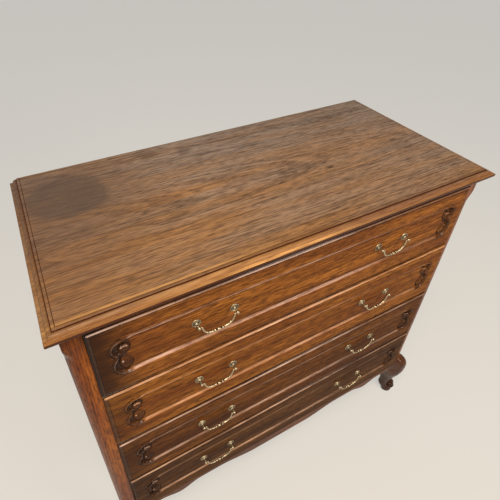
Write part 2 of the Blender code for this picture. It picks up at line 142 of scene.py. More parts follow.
# %% Floor
floor_glow = 0.47
floor_material, tree, shader = new_material("pale_floor")
fill(shader, {"Base Color": linear("8A8172"), "Roughness": 0.9})
glow = add(tree, "Emission", {"Color": linear("FFFEFA"), "Strength": floor_glow})
dark = add(tree, "Emission", {"Color": linear("000000"), "Strength": 0.0})
rays = add(tree, "LightPath").outputs
seen = add(tree, "Math", (rays["Is Camera Ray"], rays["Is Glossy Ray"]), operation="MAXIMUM")
seen = add(tree, "Math", (seen, rays["Is Transmission Ray"]), operation="MAXIMUM")
glow_seen = add(tree, "MixShader", (seen, dark, glow))
fill(tree.nodes["Material Output"], {"Surface": add(tree, "AddShader", (shader, glow_seen))})

shape = bmesh.new()
bmesh.ops.create_grid(shape, x_segments=1, y_segments=1, size=40)
mesh = bpy.data.meshes.new("floor")
shape.to_mesh(mesh)
shape.free()
mesh.materials.append(floor_material)
floor = bpy.data.objects.new("floor", mesh)
bpy.context.scene.collection.objects.link(floor)
print("floor", floor.dimensions[:])

# %% Surround and lamps
surround_strength = 0.32
world = bpy.data.worlds.new("studio")
world.use_nodes = True
bpy.context.scene.world = world
background = world.node_tree.nodes["Background"]
background.inputs["Color"].default_value = linear("F6F4F1")
background.inputs["Strength"].default_value = surround_strength

lamps = (
    ("key", (-0.8, -1.2, 3.2), 1.3, 92.0, "FFF4E6"),
    ("window", (1.35, -2.8, 1.60), 0.9, 40.0, "FFFAF6"),
    ("fill", (-2.2, -2.2, 1.6), 1.6, 12.0, "FFF9F2"),
)
for name, place, size, watts, colour in lamps:
    data = bpy.data.lights.new(name, "AREA")
    data.shape = "SQUARE"
    data.size = size
    data.energy = watts
    data.color = linear(colour)[:3]
    lamp = bpy.data.objects.new(name, data)
    lamp.location = place
    lamp.rotation_euler = (Vector((0.0, 0.0, 0.55)) - Vector(place)).to_track_quat("-Z", "Y").to_euler()
    bpy.context.scene.collection.objects.link(lamp)
print("lamps", [lamp[0] for lamp in lamps])

# %% [markdown]
# ## Stained oak
# Oak is a ring-porous wood. Each year it lays down a band of large pores and then a band of
# dense wood. A board shows the bands as lines along it, and as arches where the saw met the
# rings at a low angle. Here the rings are real circles round a line that runs under the
# board, and the board shows whatever part of them it cuts, so edges and end grain fit too.
# First come the place in the log and the rings. Every pattern is noise drawn out into streaks
# of a real length and width.

# %% Place in the log
ring_gap = 0.0058
grain_turns = {"X": (0, 0, 0), "Y": (0, 0, -math.pi / 2), "Z": (0, math.pi / 2, 0)}
# Length and width of the grain's wander, of its ragged lines and of the drifts of tone
wander_size, ragged_size, drift_size = (1 / 2.2, 1 / 13), (1 / 14, 1 / 160), (1 / 3, 1 / 22)
# How far the wander and the ragged lines reach across the grain
wander_reach, ragged_reach = 0.030, 0.0022
# Spells of wet and dry years: how fast they change with each ring, and by how many rings they shift
spell_pace, spell_reach = 0.31, 2.4
# How far apart in the log two boards of one panel may come from
board_shift = (3.7, -0.07, 0.05)


def distance_from(tree, spot, centre, reach):
    """How far a spot is from a centre, counted in reaches: 1 is an oval round it."""
    shrink = [1 / r for r in reach]
    move = [-c / r for c, r in zip(centre, reach)]
    near = add(tree, "Mapping", {"Vector": spot, "Scale": shrink, "Location": move})
    return add(tree, "VectorMath", (near,), operation="LENGTH")


def streaks(tree, lengthways, size, detail):
    """Noise in streaks of a length and a width, along the grain."""
    length, width = size
    drawn_out = add(tree, "Mapping", {"Vector": lengthways, "Scale": (1 / length, 1 / width, 1 / width)})
    return add(tree, "TexNoise", {"Vector": drawn_out, "Scale": 1.0, "Detail": detail})


def place_in_log(tree, spot, along, shift, boards):
    """X, Y and Z of a spot with X along the grain, and the luck of each board that is glued in."""
    turned = add(tree, "Mapping", {"Vector": spot, "Rotation": grain_turns[along], "Location": shift})
    place = add(tree, "SeparateXYZ", (turned,)).outputs
    if not boards:
        return place, None
    board = add(tree, "Math", (place[1], boards), operation="DIVIDE")
    board = add(tree, "Math", (board,), operation="FLOOR")
    luck = add(tree, "TexWhiteNoise", {"W": board}, noise_dimensions="1D")
    return [add(tree, "Math", (luck, far, axis), operation="MULTIPLY_ADD")
            for far, axis in zip(board_shift, place)], luck


print("rings every", ring_gap * 1000, "mm")


# %% Rings of the oak
def oak_rings(tree, spot, place, lengthways, pith, tilt, figures):
    """How dark the early wood of the rings is, and the noise that makes their lines ragged."""
    # The grain wanders by a few millimetres over the length of a board
    wander = streaks(tree, lengthways, wander_size, 3.0)
    wander = add(tree, "Math", (wander, wander_reach, -wander_reach / 2), operation="MULTIPLY_ADD")
    depth = add(tree, "Math", (place[2], pith[1]), operation="ADD")
    depth = add(tree, "Math", (place[0], tilt, depth), operation="MULTIPLY_ADD")
    across = add(tree, "Math", (place[1], pith[0]), operation="ADD")
    across = add(tree, "Math", (across, wander), operation="ADD")
    squares = [add(tree, "Math", (side, 2.0), operation="POWER") for side in (across, depth)]
    radius = add(tree, "Math", squares, operation="ADD")
    radius = add(tree, "Math", (radius,), operation="SQRT")
    # An arch or a knot lifts the rings in one spot, as a branch or a swelling did in the tree
    for centre, reach, lift in figures:
        swell = add(tree, "Math", (distance_from(tree, spot, centre, reach), 2.0), operation="POWER")
        swell = add(tree, "Math", (swell, -1.0), operation="MULTIPLY")
        swell = add(tree, "Math", (swell,), operation="EXPONENT")
        radius = add(tree, "Math", (swell, lift, radius), operation="MULTIPLY_ADD")
    ragged = streaks(tree, lengthways, ragged_size, 2.0)
    radius = add(tree, "Math", (ragged, ragged_reach, radius), operation="MULTIPLY_ADD")
    # Wet and dry years make rings of different widths and darkness
    rings = add(tree, "Math", (radius, ring_gap), operation="DIVIDE")
    spells = add(tree, "Math", (rings, spell_pace), operation="MULTIPLY")
    spells = add(tree, "TexNoise", {"W": spells}, noise_dimensions="1D")
    rings = add(tree, "Math", (spells, spell_reach, rings), operation="MULTIPLY_ADD")
    year = add(tree, "Math", (rings,), operation="FLOOR")
    luck = add(tree, "TexWhiteNoise", {"W": year}, noise_dimensions="1D")
    strength = add(tree, "Math", (luck, 0.75, 0.35), operation="MULTIPLY_ADD")
    season = add(tree, "Math", (rings,), operation="FRACT")
    rise = add(tree, "MapRange", (season, 0.0, 0.20))
    fall = add(tree, "MapRange", (season, 0.30, 0.95, 1.0, 0.0))
    early = add(tree, "Math", (rise, fall), operation="MULTIPLY")
    return add(tree, "Math", (early, strength), operation="MULTIPLY"), ragged


# %% [markdown]
# The stain sits in the pores as short dark dashes. Real pores are 0.3 mm wide, which is too
# fine for the picture, so they are drawn about 2 mm wide. The colour is built up in layers, as
# a finisher would: the tone of the board, its mottling, its rings and pores, then marks of
# use and painted shade, dark wax with painted shade in the carved hollows and the recesses of
# the mouldings, and last the edges that hands have rubbed pale, together with painted
# highlights where edges catch the light. The shapes carry two attributes for that, one for
# dirt, wax and painted shade and one for rubbed edges and painted highlights.


# %% Colour and gloss of the oak
def stained_oak(name, along, tones, shift=(0, 0, 0), pith=(0.02, 0.11), tilt=0.05, figures=(),
                boards=0.0, gloss=0.36, coat=0.04, wax=0.0, shine=0.10, contrast=1.0,
                pore=(0.021, 0.0017), mottled=0.40, mottle=(0.038, 0.0077), lined=0.0,
                line=(0.2, 0.008), tone_map=None, marks=(), rubbed_and_highlight_tone="B98E66"):
    """Oak with its grain along one axis. tones: pore, dark, middle, light, and the tone of the carved
    hollows' wax and of painted shade.
    """
    material, tree, shader = new_material(name)
    pore_tone, dark_tone, middle_tone, light_tone, dirt_and_shade_tone = (linear(t) for t in tones)
    spot = add(tree, "TexCoord").outputs["Object"]
    place, luck = place_in_log(tree, spot, along, shift, boards)
    lengthways = add(tree, "CombineXYZ", place)
    early, ragged = oak_rings(tree, spot, place, lengthways, pith, tilt, figures)

    # Pores, crowded in the early wood of each ring
    pores = streaks(tree, lengthways, pore, 1.5)
    pores = add(tree, "MapRange", (pores, 0.50, 0.62))
    crowd = add(tree, "Math", (early, 0.60, 0.45), operation="MULTIPLY_ADD")
    pores = add(tree, "Math", (pores, crowd), operation="MULTIPLY")
    # Broad drifts of tone from the stain and from years of light
    drift = streaks(tree, lengthways, drift_size, 4.0)
    drift = add(tree, "MapRange", (drift, 0.32, 0.68))
    if boards:
        own_tone = add(tree, "Math", (luck, 0.5), operation="SUBTRACT")
        drift = add(tree, "Math", (own_tone, 0.5, drift), operation="MULTIPLY_ADD")
    if tone_map:
        drift = tone_map(tree, spot, drift)
    drift = add(tree, "Math", (drift, 1.0), operation="MINIMUM")
    colour = add(tree, "Mix", (drift, middle_tone, light_tone))
    # Mottling, where the saw crossed the rays of the wood and the stain took unevenly
    flecks = streaks(tree, lengthways, mottle, 4.0)
    flecks = add(tree, "MapRange", (flecks, 0.42, 0.64))
    flecks = add(tree, "Math", (flecks, mottled), operation="MULTIPLY")
    colour = add(tree, "Mix", (flecks, colour, dark_tone))
    layers = [(early, 0.80 * contrast, dark_tone), (pores, 0.35 + 0.50 * contrast, pore_tone)]
    if lined:
        lines = streaks(tree, lengthways, line, 2.0)
        lines = add(tree, "MapRange", (lines, 0.53, 0.64))
        layers.insert(0, (lines, lined, pore_tone))
    for pattern, strength, tone in layers:
        share = add(tree, "Math", (pattern, strength), operation="MULTIPLY")
        colour = add(tree, "Mix", (share, colour, tone))
    # Marks of use, and on the fronts a painted shade at the left end: ovals whose edge wanders in waves of
    # about 40 mm
    if marks:
        uneven = add(tree, "TexNoise", {"Vector": spot, "Scale": 24.0, "Detail": 4.0})
    for centre, reach, edge, strength, tone in marks:
        far = distance_from(tree, spot, centre, reach)
        far = add(tree, "Math", (uneven, 0.50, far), operation="MULTIPLY_ADD")
        far = add(tree, "Math", (far, 0.25), operation="SUBTRACT")
        patch = add(tree, "MapRange", (far, 1 - edge, 1 + edge, 1.0, 0.0))
        patch = add(tree, "Math", (patch, strength), operation="MULTIPLY")
        colour = add(tree, "Mix", (patch, colour, linear(tone)))

    # Wax and dirt stay dark in the carved hollows and painted shade darkens recesses and shaded edges,
    # while rubbed edges and painted highlights are paler
    dirt_and_painted_shade, rubbed_and_highlight = (add(tree, "Attribute", attribute_name=word).outputs["Fac"]
                      for word in ("dirt_and_painted_shade", "rubbed_and_highlight"))
    colour = add(tree, "Mix", (dirt_and_painted_shade, colour, dirt_and_shade_tone))
    pale = add(tree, "MapRange", (ragged, 0.34, 0.60))
    pale = add(tree, "Math", (pale, 0.45, 0.50), operation="MULTIPLY_ADD")
    pale = add(tree, "Math", (flecks, -0.5, pale), operation="MULTIPLY_ADD")
    pale = add(tree, "Math", (rubbed_and_highlight, pale), operation="MULTIPLY")
    colour = add(tree, "Mix", (pale, colour, linear(rubbed_and_highlight_tone)))
    rough = add(tree, "Math", (ragged, 0.08, gloss - 0.04), operation="MULTIPLY_ADD")
    rough = add(tree, "Math", (pores, 0.14, rough), operation="MULTIPLY_ADD")
    rough = add(tree, "Math", (dirt_and_painted_shade, -0.10, rough), operation="MULTIPLY_ADD")
    height = add(tree, "Math", (pores, -0.65), operation="MULTIPLY")
    height = add(tree, "Math", (early, -0.35, height), operation="MULTIPLY_ADD")
    bump = add(tree, "Bump", {"Strength": 0.35, "Distance": 0.0006, "Height": height})
    fill(shader, {"Base Color": colour, "Roughness": rough, "Normal": bump, "IOR": 1.5,
                  "Specular IOR Level": shine, "Coat Weight": coat, "Coat Roughness": 0.18})
    if wax:
        fill(shader, {"Coat Weight": add(tree, "Math", (dirt_and_painted_shade, wax, coat), operation="MULTIPLY_ADD")})
    return material


# %% [markdown]
# ## Finishes of the chest
# The top has faded to a greyer brown at the back and stayed golden along the front, and the
# grey at the back and the right is partly a painted sheen. A round dark stain is left at its
# back left, and the front moulding has kept a redder brown with one golden streak. The drawer
# fronts are redder too, each cut from another part of the log. The two lower fronts have
# darker tones, partly painted shade, and each front has a painted shade at its left end,
# deepest on the top drawer.
# Posts and sides run upright. The insides of the drawers were never stained, only darkened
# with age.


# %% Oak of the top
def faded_and_sheen_top(tree, spot, drift):
    """Golden along the front and the left, greyer to the back and the right, the grey partly a painted
    sheen.
    """
    place = add(tree, "SeparateXYZ", (spot,)).outputs
    slope = add(tree, "Math", (place[0], -0.42, 0.28), operation="MULTIPLY_ADD")
    slope = add(tree, "Math", (place[1], -1.7, slope), operation="MULTIPLY_ADD")
    return add(tree, "Math", (drift, 0.55, slope), operation="MULTIPLY_ADD")


anywhere = 9.0
# Arches and a knot: X, Y, reach along, reach across, and how far the rings are lifted
top_figures = (
    (0.12, 0.150, 0.17, 0.030, 0.026),
    (0.36, 0.165, 0.15, 0.026, 0.022),
    (-0.41, -0.052, 0.13, 0.022, 0.024),
    (0.172, -0.045, 0.020, 0.010, 0.012),
)
# Marks: X, Y, reach along, reach across, softness of the edge, strength and tone
top_marks = (
    (-0.53, -0.02, 0.185, 0.36, 0.9, 0.42, "5C3F2C"),  # darker towards the left end
    (0.0, -0.2410, 0.80, 0.0125, 0.25, 0.60, "6A3600"),  # the redder front moulding
    (0.0, -0.2228, 0.70, 0.0058, 0.4, 0.36, "65401F"),  # the brown band behind it
    (-0.34, -0.2162, 0.20, 0.0032, 0.6, 0.42, "CE9858"),  # the golden streak
    (-0.42, 0.100, 0.170, 0.150, 0.7, 0.38, "57463A"),  # grey round the stain
    (-0.414, 0.121, 0.087, 0.081, 0.14, 0.58, "4C4038"),  # the round stain
    (-0.378, 0.090, 0.050, 0.044, 0.35, 0.14, "46352C"),  # its darker side
    (0.172, -0.045, 0.011, 0.006, 0.6, 0.7, "2E1D14"),  # the knot
    (-0.20, 0.205, 0.020, 0.016, 0.6, 0.4, "3F2C22"),  # two small spots at the back
    (-0.11, 0.190, 0.018, 0.020, 0.6, 0.4, "3F2C22"),
)
top_oak = stained_oak(
    "faded_and_sheen_oak_top", "X", ("34241A", "563F2F", "8D7969", "9A6E43", "3D1702"),
    pith=(0.03, 0.07 - 0.99), tilt=0.035, boards=0.121, gloss=0.42, shine=0.14, contrast=0.58,
    pore=(0.024, 0.0026), mottled=0.34, mottle=(0.030, 0.0042), lined=0.50, line=(0.10, 0.0042),
    rubbed_and_highlight_tone="E2AC6A", tone_map=faded_and_sheen_top,
    figures=[((x, y, 0), (along, across, anywhere), lift) for x, y, along, across, lift in top_figures],
    marks=[((x, y, 0), (along, across, anywhere), *rest) for x, y, along, across, *rest in top_marks])
print("marks on the top", len(top_marks))

# %% Oak of the fronts, the carcass and the insides
front_looks = {
    # Tones as in stained_oak, the tone of rubbed edges and painted highlights, and how dark the
    # painted shade at the left end is. The lower two fronts have darker tones, partly painted shade.
    1: (("2C1408", "4C270F", "7F471C", "B06D2B", "1C100A"), "E6C4B0", 0.90),
    2: (("2C1408", "4C270F", "81481B", "B26F29", "1C100A"), "E8B48C", 0.45),
    3: (("200D04", "371A08", "5C3210", "85501D", "1F110A"), "D9B59E", 0.40),
    4: (("1D0B03", "2F1708", "502F14", "744A1F", "1C100A"), "D8AC8C", 0.30),
}
front_oak = {}
for number, (tones, rubbed_and_highlight_tone, left_end_painted_shade) in front_looks.items():
    front_oak[number] = stained_oak(
        f"stained_oak_front_{number}", "X", tones, shift=(1.3 * number, 0.0, 0.31 * number),
        pith=(0.31, 0.035 - 0.9 - 0.12 * number), tilt=0.030, gloss=0.30, shine=0.0, coat=0.16, wax=0.15,
        contrast=0.90, mottled=0.55, mottle=(0.026, 0.0044), rubbed_and_highlight_tone=rubbed_and_highlight_tone,
        marks=(((-0.50, 0, 0), (0.085, anywhere, anywhere), 0.5, left_end_painted_shade, "2E1A0E"),))
upright_oak = stained_oak(
    "stained_oak_upright", "Z", ("321605", "5C2C0E", "8A4614", "B3661F", "2E1B10"),
    shift=(0.4, 0.02, 0.9), pith=(0.20, 0.10), tilt=0.02, gloss=0.26, coat=0.10, wax=0.34,
    shine=0.06, mottled=0.55)
across_oak = stained_oak(
    "stained_oak_across", "X", ("281206", "42200A", "653411", "86491A", "24150E"),
    shift=(2.2, 0.1, 0.4), pith=(0.30, -0.30), tilt=0.02, gloss=0.34)
bare_oak = {}
for word, along, shift in (("across", "X", (0.7, 0.3, 0.2)), ("deep", "Y", (0.3, 0.6, 0.1)),
                           ("upright", "Z", (0.3, 0.2, 0.5))):
    bare_oak[word] = stained_oak(
        f"bare_oak_{word}", along, ("6E4E30", "8A6642", "A98258", "BD9768", "6E4E30"), shift=shift,
        pith=(0.25, -0.30), tilt=0.02, gloss=0.62, coat=0.0, contrast=0.7)
print("oak finishes", 3 + len(front_oak) + len(bare_oak))

# %% [markdown]
# ## Antique brass
# Cast handles were dipped in a darkening bath and then rubbed, so brown stays in the
# hollows and the raised parts shine pale. A metal's colour is its reflection, so the base
# colour is light and metallic is 1. The brown is a patchy layer, in blotches of about 4 mm,
# that also follows the shape: the pieces carry the attribute that the oak uses for dirt and
# painted shade, which on the brass is the tarnish, high in their grooves.

# %% Brass
brass, tree, shader = new_material("antique_brass")
spot = add(tree, "TexCoord").outputs["Object"]
blotch = add(tree, "TexNoise", {"Vector": spot, "Scale": 260.0, "Detail": 3.0})
pale = add(tree, "MapRange", (blotch, 0.3, 0.6))
bright = add(tree, "Mix", (pale, linear("CDBC9A"), linear("B29E7C")))
patchy = add(tree, "MapRange", (blotch, 0.56, 0.74, 0.0, 0.30))
dirt_and_painted_shade = add(tree, "Attribute", attribute_name="dirt_and_painted_shade").outputs["Fac"]
tarnish = add(tree, "Math", (dirt_and_painted_shade, patchy), operation="MAXIMUM")
colour = add(tree, "Mix", (tarnish, bright, linear("2E2116")))
rough = add(tree, "Math", (tarnish, 0.20, 0.36), operation="MULTIPLY_ADD")
pitted = add(tree, "Bump", {"Strength": 0.25, "Distance": 0.0002, "Height": blotch})
fill(shader, {"Base Color": colour, "Roughness": rough, "Normal": pitted, "Metallic": 1.0})
print("brass nodes", len(tree.nodes))

# %% [markdown]
# ## Finishing a piece
# Each new shape starts as a bmesh, which holds points, edges and faces. One function turns it
# into a named object, points its faces outwards, gives it a finish, fixes it to the moving
# part that it belongs to, and hides the CAD solid that it stands for.


# %% Placing pieces
def finish_piece(name, shape, material, body, stands_for=(), smooth_angle=35, easing=0.0):
    """Makes an object of a bmesh and fixes it to its body."""
    bmesh.ops.remove_doubles(shape, verts=shape.verts, dist=1e-6)
    bmesh.ops.recalc_face_normals(shape, faces=shape.faces)
    mesh = bpy.data.meshes.new(name)
    shape.to_mesh(mesh)
    shape.free()
    mesh.shade_smooth()
    mesh.set_sharp_from_angle(angle=math.radians(smooth_angle))
    mesh.materials.append(material)
    piece = bpy.data.objects.new(name, mesh)
    bpy.context.scene.collection.objects.link(piece)
    if easing:
        rounding = piece.modifiers.new("eased_edges", "BEVEL")
        rounding.width = easing
        rounding.segments = 2
        rounding.limit_method = "ANGLE"
        rounding.angle_limit = math.radians(50)
        rounding.harden_normals = True
    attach(piece, body)
    if stands_for:
        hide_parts(*stands_for)
    return piece


def mark_points(shape, name, value_of):
    """Writes a number from 0 to 1 at each point, which a finish reads as an attribute."""
    layer = shape.verts.layers.float.get(name) or shape.verts.layers.float.new(name)
    for vert in shape.verts:
        vert[layer] = value_of(vert.co)


def mix(first, second, share):
    """A value part of the way from the first to the second."""
    return first + (second - first) * share


def ease(value, low, high):
    """Eases a value, or an array of them, from 0 at low to 1 at high."""
    share = np.clip((value - low) / (high - low), 0, 1)
    return share * share * (3 - 2 * share)


def bell(place, middle, reach):
    """1 in the middle, dying away on both sides of it."""
    return np.exp(-((place - middle) / reach) ** 2)


print("halfway", ease(0.5, 0, 1))

# %% [markdown]
# ## Moulded top
# The top is a slab of glued boards, 22 mm thick. A router cut its moulding along the front
# and both ends: from the outside an upright edge, a flat ledge, a quarter round and a fine
# step, and behind them a line is scored into the flat. It starts as one rectangle, which is
# extruded once for each point of the moulding's profile and drawn in a little each time. The
# back edge stays straight, so only three sides move.

# %% Top
low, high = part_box("top_panel")
thickness, under_inset = high.z - low.z, 0.0055
edge_drop, ledge_drop, ledge_width, arris = 0.0142, 0.0090, 0.0065, 0.0006
quirk_inset, quirk_depth = 0.0150, 0.0015
score_inset = quirk_inset + 0.0068
# Inset from the edge and drop under the surface, from the underside to the flat
profile = [(under_inset, thickness), (0.0016, edge_drop + 0.0030), (0.0, edge_drop),
           (0.0, ledge_drop + arris), (arris, ledge_drop), (ledge_width - arris, ledge_drop),
           (ledge_width, ledge_drop - 0.0004)]
for i in range(1, 11):
    angle = math.pi / 2 * i / 10
    profile.append((quirk_inset - (quirk_inset - ledge_width) * math.cos(angle),
                    ledge_drop - (ledge_drop - quirk_depth - 0.0007) * math.sin(angle)))
profile += [(quirk_inset + 0.0002, quirk_depth + 0.0012), (quirk_inset + 0.0009, quirk_depth + 0.0010),
            (quirk_inset + 0.0011, 0.0004), (quirk_inset + 0.0016, 0.0)]
profile += [(score_inset - 0.0007, 0.0), (score_inset - 0.0004, 0.0008), (score_inset + 0.0004, 0.0008),
            (score_inset + 0.0007, 0.0)]


def open_edges(grown):
    """The open edges that an extrusion has just made."""
    return [g for g in grown["geom"] if isinstance(g, bmesh.types.BMEdge) and g.is_boundary]


def set_top_ring(edges, inset, drop):
    """Puts the four corners of a loop on one line of the moulding."""
    for vert in {v for e in edges for v in e.verts}:
        side, back = math.copysign(1, vert.co.x), vert.co.y > 0
        vert.co = (side * (high.x - inset), high.y if back else low.y + inset, high.z - drop)


shape = bmesh.new()
corners = [shape.verts.new((x, y, 0)) for x, y in ((-1, -1), (1, -1), (1, 1), (-1, 1))]
border = [shape.edges.new(pair) for pair in zip(corners, corners[1:] + corners[:1])]
set_top_ring(border, *profile[0])
bmesh.ops.contextual_create(shape, geom=border)
for inset, drop in profile[1:]:
    border = open_edges(bmesh.ops.extrude_edge_only(shape, edges=border))
    set_top_ring(border, inset, drop)
bmesh.ops.contextual_create(shape, geom=border)
long_edges = [e for e in shape.edges if abs(e.verts[0].co.x - e.verts[1].co.x) > 0.5]
bmesh.ops.subdivide_edges(shape, edges=long_edges, cuts=16)
print("points in the moulding", len(profile))

# %% [markdown]
# Wear and painted light follow the shape. Each point of the top gets two numbers: how dark
# dirt and painted shade make it, and how pale rubbing and painted highlights make it. The oak
# reads them as attributes, so the marks keep to the lines of the moulding.

# %% Wear, painted shade and highlights of the top
# Darkness of the dirt in the step and the scored line, of the painted shade on the upright edge and on the
# round, and of the ends; then the rubbing and painted highlight of the ledge, the highlight strongest in
# the middle, and the rubbing of the round
step_dirt, score_dirt, edge_shade, end_darkening, round_shade = 0.95, 0.85, 0.88, 0.22, 0.45
ledge_rubbed_and_highlight, ledge_highlight_middle, round_rubbed = 0.15, 0.80, 0.30


def on_moulding(p):
    """Inset and drop of a point of the top, and whether it lies on one of the ends."""
    from_end, from_front = high.x - abs(p.x), p.y - low.y
    return min(from_end, from_front), high.z - p.z, from_end < from_front - 0.0001


def top_dirt_and_shade(p):
    """Dirt lies in the fine step and the scored line; the upright edge is painted dark as the shade under
    the ledge, the round is painted in shade towards the step, and the ends are a little darker.
    """
    inset, drop, at_end = on_moulding(p)
    if quirk_inset - 0.0004 < inset < quirk_inset + 0.0012:
        return step_dirt
    if abs(inset - score_inset) < 0.0005:
        return score_dirt
    if drop > ledge_drop + arris / 2:
        return edge_shade if p.y < high.y - 0.0001 else 0.0
    if inset > quirk_inset:
        return 0.0
    return end_darkening * at_end + round_shade * ease(inset, ledge_width, quirk_inset)


def top_rubbing_and_highlights(p):
    """The front ledge is rubbed and carries a painted highlight, strongest in the middle, and the round is
    a little rubbed.
    """
    inset, drop, at_end = on_moulding(p)
    if drop > ledge_drop + arris / 2 or inset > quirk_inset or at_end:
        return 0.0
    if drop > ledge_drop - 0.0010 and inset < ledge_width:
        return ledge_rubbed_and_highlight + ledge_highlight_middle * bell(p.x, -0.08, 0.13)
    return round_rubbed * bell(p.x, -0.24, 0.24)


mark_points(shape, "dirt_and_painted_shade", top_dirt_and_shade)
mark_points(shape, "rubbed_and_highlight", top_rubbing_and_highlights)
top = finish_piece("top", shape, top_oak, "carcass", ["top_panel"], 28)
print("top", [round(v, 4) for v in top.dimensions])

# %% [markdown]
# ## Drawer fronts
# Each front is a lipped board: its edge is moulded with a thumbnail shape and laps over the
# frame. A long field is sunk into the face, and at both of its ends two small scrolls are
# carved, one above the other. A carver works such a relief down from the flat board, so the
# front is made in the same way: a fine grid of points is pushed back by the depth that the
# gouge would have reached at each point. The grid is dense only where the carving is.

# %% Sizes of a front
front_low, front_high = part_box("drawer_1_front")
face_half, face_half_height = front_high.x, (front_high.z - front_low.z) / 2
frame_y, face_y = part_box("dust_board_1")[0].y, front_low.y
joint_gap = 0.0003
lip_back = frame_y - joint_gap
lip_thickness = lip_back - face_y
thumb_width, thumb_quirk, lip_edge = 0.009, 0.0008, 0.0025
# How far inside the lip the block that fills the opening lies
block_side, block_below, block_above = 0.0228, 0.0088, 0.0122
print("lip", round(lip_thickness * 1000, 2), "mm thick, face half width", round(face_half, 4))


# %% Measures on the face
def distance_to(line, u, z):
    """Distance from every point to a chain of straight pieces."""
    best = np.full(u.shape, np.inf)
    for (u0, z0), (u1, z1) in zip(line, line[1:]):
        du, dz = u1 - u0, z1 - z0
        share = np.clip(((u - u0) * du + (z - z0) * dz) / (du * du + dz * dz), 0, 1)
        best = np.minimum(best, np.hypot(u - u0 - share * du, z - z0 - share * dz))
    return best


def inside(line, u, z):
    """Whether every point lies inside a closed chain."""
    found = np.zeros(u.shape, bool)
    for (u0, z0), (u1, z1) in zip(line, line[1:] + line[:1]):
        if z0 != z1:
            crossing = u0 + (z - z0) * (u1 - u0) / (z1 - z0)
            found ^= ((z0 > z) != (z1 > z)) & (u < crossing)
    return found


def from_middle(u, z, middle, reach):
    """How far every point is from the middle of an oval, counted in reaches."""
    return np.hypot((u - middle[0]) / reach[0], (z - middle[1]) / reach[1])


def hump(away, reach):
    """1 on a line and 0 at its reach, round like the back of a bead."""
    return np.clip(1 - (away / reach) ** 2, 0, 1)


def cove(away, reach):
    """A hollow that falls steeply from its edge and runs out level at its reach."""
    return np.sqrt(hump(1 - np.clip(away / reach, 0, 1), 1))


def raised(depth, form, surface):
    """The depth of the ground, with a form that stands on it."""
    return np.where(form > 0, np.minimum(depth, surface), depth)


def curve_through(points, steps=6):
    """A smooth chain through a few points."""
    line = []
    for i in range(len(points) - 1):
        p0, p1, p2, p3 = (points[min(max(i + k, 0), len(points) - 1)] for k in (-1, 0, 1, 2))
        for t in (s / steps for s in range(steps)):
            line.append(tuple(
                0.5 * (2 * b + (c - a) * t + (2 * a - 5 * b + 4 * c - d) * t * t
                       + (3 * b - a - 3 * c + d) * t ** 3)
                for a, b, c, d in zip(p0, p1, p2, p3)))
    return line + [points[-1]]


print("middle of a curve", curve_through([(0, 0), (1, 1), (2, 0)])[6])

# %% [markdown]
# The carving is drawn for one end of the field, out from the middle of the face and up from
# its centre line. The rim waves in between the two scrolls. Each scroll lies in an oval bed
# and has a dome, the upper one with a curl and a string of beads, the lower one with veins.

# %% Drawing of the carving
field_half, field_depth, field_cove = 0.048, 0.003, 0.0075
carved_depth = 0.0050
rim = curve_through((
    (0.3800, field_half), (0.4000, field_half), (0.4125, 0.0462), (0.4222, 0.0415), (0.4284, 0.0338),
    (0.4304, 0.0245), (0.4280, 0.0150), (0.4236, 0.0082), (0.4208, 0.0040), (0.4232, -0.0010),
    (0.4280, -0.0090), (0.4302, -0.0195), (0.4292, -0.0300), (0.4250, -0.0395), (0.4172, -0.0458),
    (0.4060, -field_half), (0.3800, -field_half)))
field_outline = [(0.0, field_half)] + rim + [(0.0, -field_half)]
gouge_width, rim_width, rim_height, moat_width, moat_depth = 0.0042, 0.0024, 0.0017, 0.0013, 0.0011
# Ovals are a middle and a reach, a dome also has the depth of its crown, and a bead has a radius
beds = (((0.4135, 0.0250), (0.0183, 0.0245)), ((0.4138, -0.0220), (0.0185, 0.0262)))
domes = (((0.4078, 0.0215), (0.0106, 0.0106), 0.0006), ((0.4080, -0.0180), (0.0122, 0.0195), 0.0003))
upper_curl = curve_through(((0.4236, 0.0082), (0.4185, 0.0072), (0.4135, 0.0092), (0.4085, 0.0130)))
curl_width, curl_crown = 0.0030, 0.0010
beads = (((0.4132, 0.0276), 0.0026), ((0.4080, 0.0294), 0.0026), ((0.4030, 0.0280), 0.0023),
         ((0.4146, -0.0112), 0.0026))
bead_string = curve_through(((0.4140, 0.0270), (0.4080, 0.0296), (0.4024, 0.0276)))
bead_foot, bead_rise, string_width, string_rise = 0.0022, 0.0030, 0.0019, 0.0024
dome_veins = (
    curve_through(((0.4068, -0.0015), (0.4020, -0.0080), (0.4012, -0.0160), (0.4045, -0.0240))),
    curve_through(((0.4100, -0.0200), (0.4070, -0.0150), (0.4090, -0.0100), (0.4120, -0.0125))),
)
vein_width, vein_depth = 0.0012, 0.0009
print("rim points", len(rim), "domes", len(domes), "beads", len(beads))


